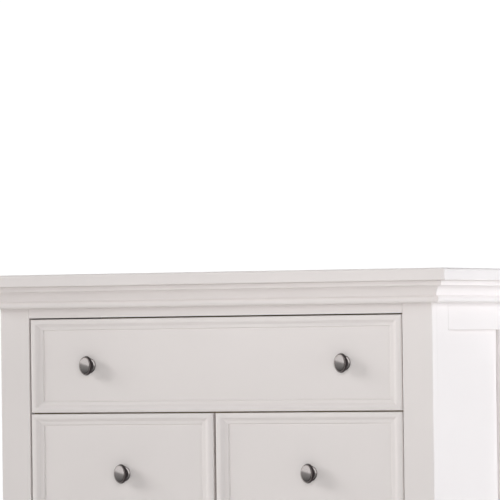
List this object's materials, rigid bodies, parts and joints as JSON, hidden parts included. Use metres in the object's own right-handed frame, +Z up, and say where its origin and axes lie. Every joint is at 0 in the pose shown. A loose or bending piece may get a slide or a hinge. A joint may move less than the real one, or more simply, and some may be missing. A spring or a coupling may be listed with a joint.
{
  "type": "tall chest of drawers",
  "caption": "Tall painted chest of drawers: moulded top with crown, inset fronts with moulded borders, oval knobs, a wide drawer over a half-width pair over wide drawers, all sliding.",
  "frame": {"origin": "on the floor, under the middle of the top slab's outline", "axes": "+X to the right of someone facing the drawers, +Y to the back, +Z up"},
  "size_m": [1.032, 0.476, 1.345],
  "materials": {
    "white_paint": "satin paint over hardwood",
    "nickel": "antiqued nickel plate, buffed bright where hands touch it",
    "drawer_birch": "clear lacquered birch",
    "birch_ply": "clear lacquered plywood",
    "case_timber": "planed poplar, unfinished",
    "back_board": "plywood, unfinished",
    "zinc_steel": "bright zinc plate",
    "nylon": "moulded nylon"
  },
  "bodies": {
    "case": {"top_slab": "white_paint", "crown_front": "white_paint", "crown_left": "white_paint", "crown_right": "white_paint", "front_post_left": "white_paint", "front_post_right": "white_paint", "front_top_rail": "white_paint", "base_apron": "white_paint", "side_stiles_left": "white_paint", "side_stiles_right": "white_paint", "side_rails_left": "white_paint", "side_rails_right": "white_paint", "side_panel_left": "white_paint", "side_panel_right": "white_paint", "back_panel": "back_board", "back_rails": "case_timber", "cross_rails_front": "case_timber", "cross_rails_back": "case_timber", "centre_divider": "case_timber", "runner_packers": "case_timber", "corner_blocks": "case_timber", "bottom_board": "birch_ply", "floor_glides": "nylon", "case_slides": "zinc_steel"},
    "top_drawer": {"top_drawer_front": "white_paint", "top_drawer_sides": "drawer_birch", "top_drawer_ends": "drawer_birch", "top_drawer_bottom": "birch_ply", "top_drawer_slides": "zinc_steel", "top_drawer_knobs": "nickel"},
    "left_half_drawer": {"left_half_drawer_front": "white_paint", "left_half_drawer_sides": "drawer_birch", "left_half_drawer_ends": "drawer_birch", "left_half_drawer_bottom": "birch_ply", "left_half_drawer_slides": "zinc_steel", "left_half_drawer_knobs": "nickel"},
    "right_half_drawer": {"right_half_drawer_front": "white_paint", "right_half_drawer_sides": "drawer_birch", "right_half_drawer_ends": "drawer_birch", "right_half_drawer_bottom": "birch_ply", "right_half_drawer_slides": "zinc_steel", "right_half_drawer_knobs": "nickel"},
    "third_drawer": {"third_drawer_front": "white_paint", "third_drawer_sides": "drawer_birch", "third_drawer_ends": "drawer_birch", "third_drawer_bottom": "birch_ply", "third_drawer_slides": "zinc_steel", "third_drawer_knobs": "nickel"},
    "fourth_drawer": {"fourth_drawer_front": "white_paint", "fourth_drawer_sides": "drawer_birch", "fourth_drawer_ends": "drawer_birch", "fourth_drawer_bottom": "birch_ply", "fourth_drawer_slides": "zinc_steel", "fourth_drawer_knobs": "nickel"},
    "bottom_drawer": {"bottom_drawer_front": "white_paint", "bottom_drawer_sides": "drawer_birch", "bottom_drawer_ends": "drawer_birch", "bottom_drawer_bottom": "birch_ply", "bottom_drawer_slides": "zinc_steel", "bottom_drawer_knobs": "nickel"}
  },
  "joints": [
    {"name": "top_drawer_slide", "type": "slide", "parent": "case", "child": "top_drawer", "axis": [0, -1, 0], "range_m": [0, 0.26]},
    {"name": "left_half_drawer_slide", "type": "slide", "parent": "case", "child": "left_half_drawer", "axis": [0, -1, 0], "range_m": [0, 0.26]},
    {"name": "right_half_drawer_slide", "type": "slide", "parent": "case", "child": "right_half_drawer", "axis": [0, -1, 0], "range_m": [0, 0.26]},
    {"name": "third_drawer_slide", "type": "slide", "parent": "case", "child": "third_drawer", "axis": [0, -1, 0], "range_m": [0, 0.26]},
    {"name": "fourth_drawer_slide", "type": "slide", "parent": "case", "child": "fourth_drawer", "axis": [0, -1, 0], "range_m": [0, 0.26]},
    {"name": "bottom_drawer_slide", "type": "slide", "parent": "case", "child": "bottom_drawer", "axis": [0, -1, 0], "range_m": [0, 0.26]}
  ]
}
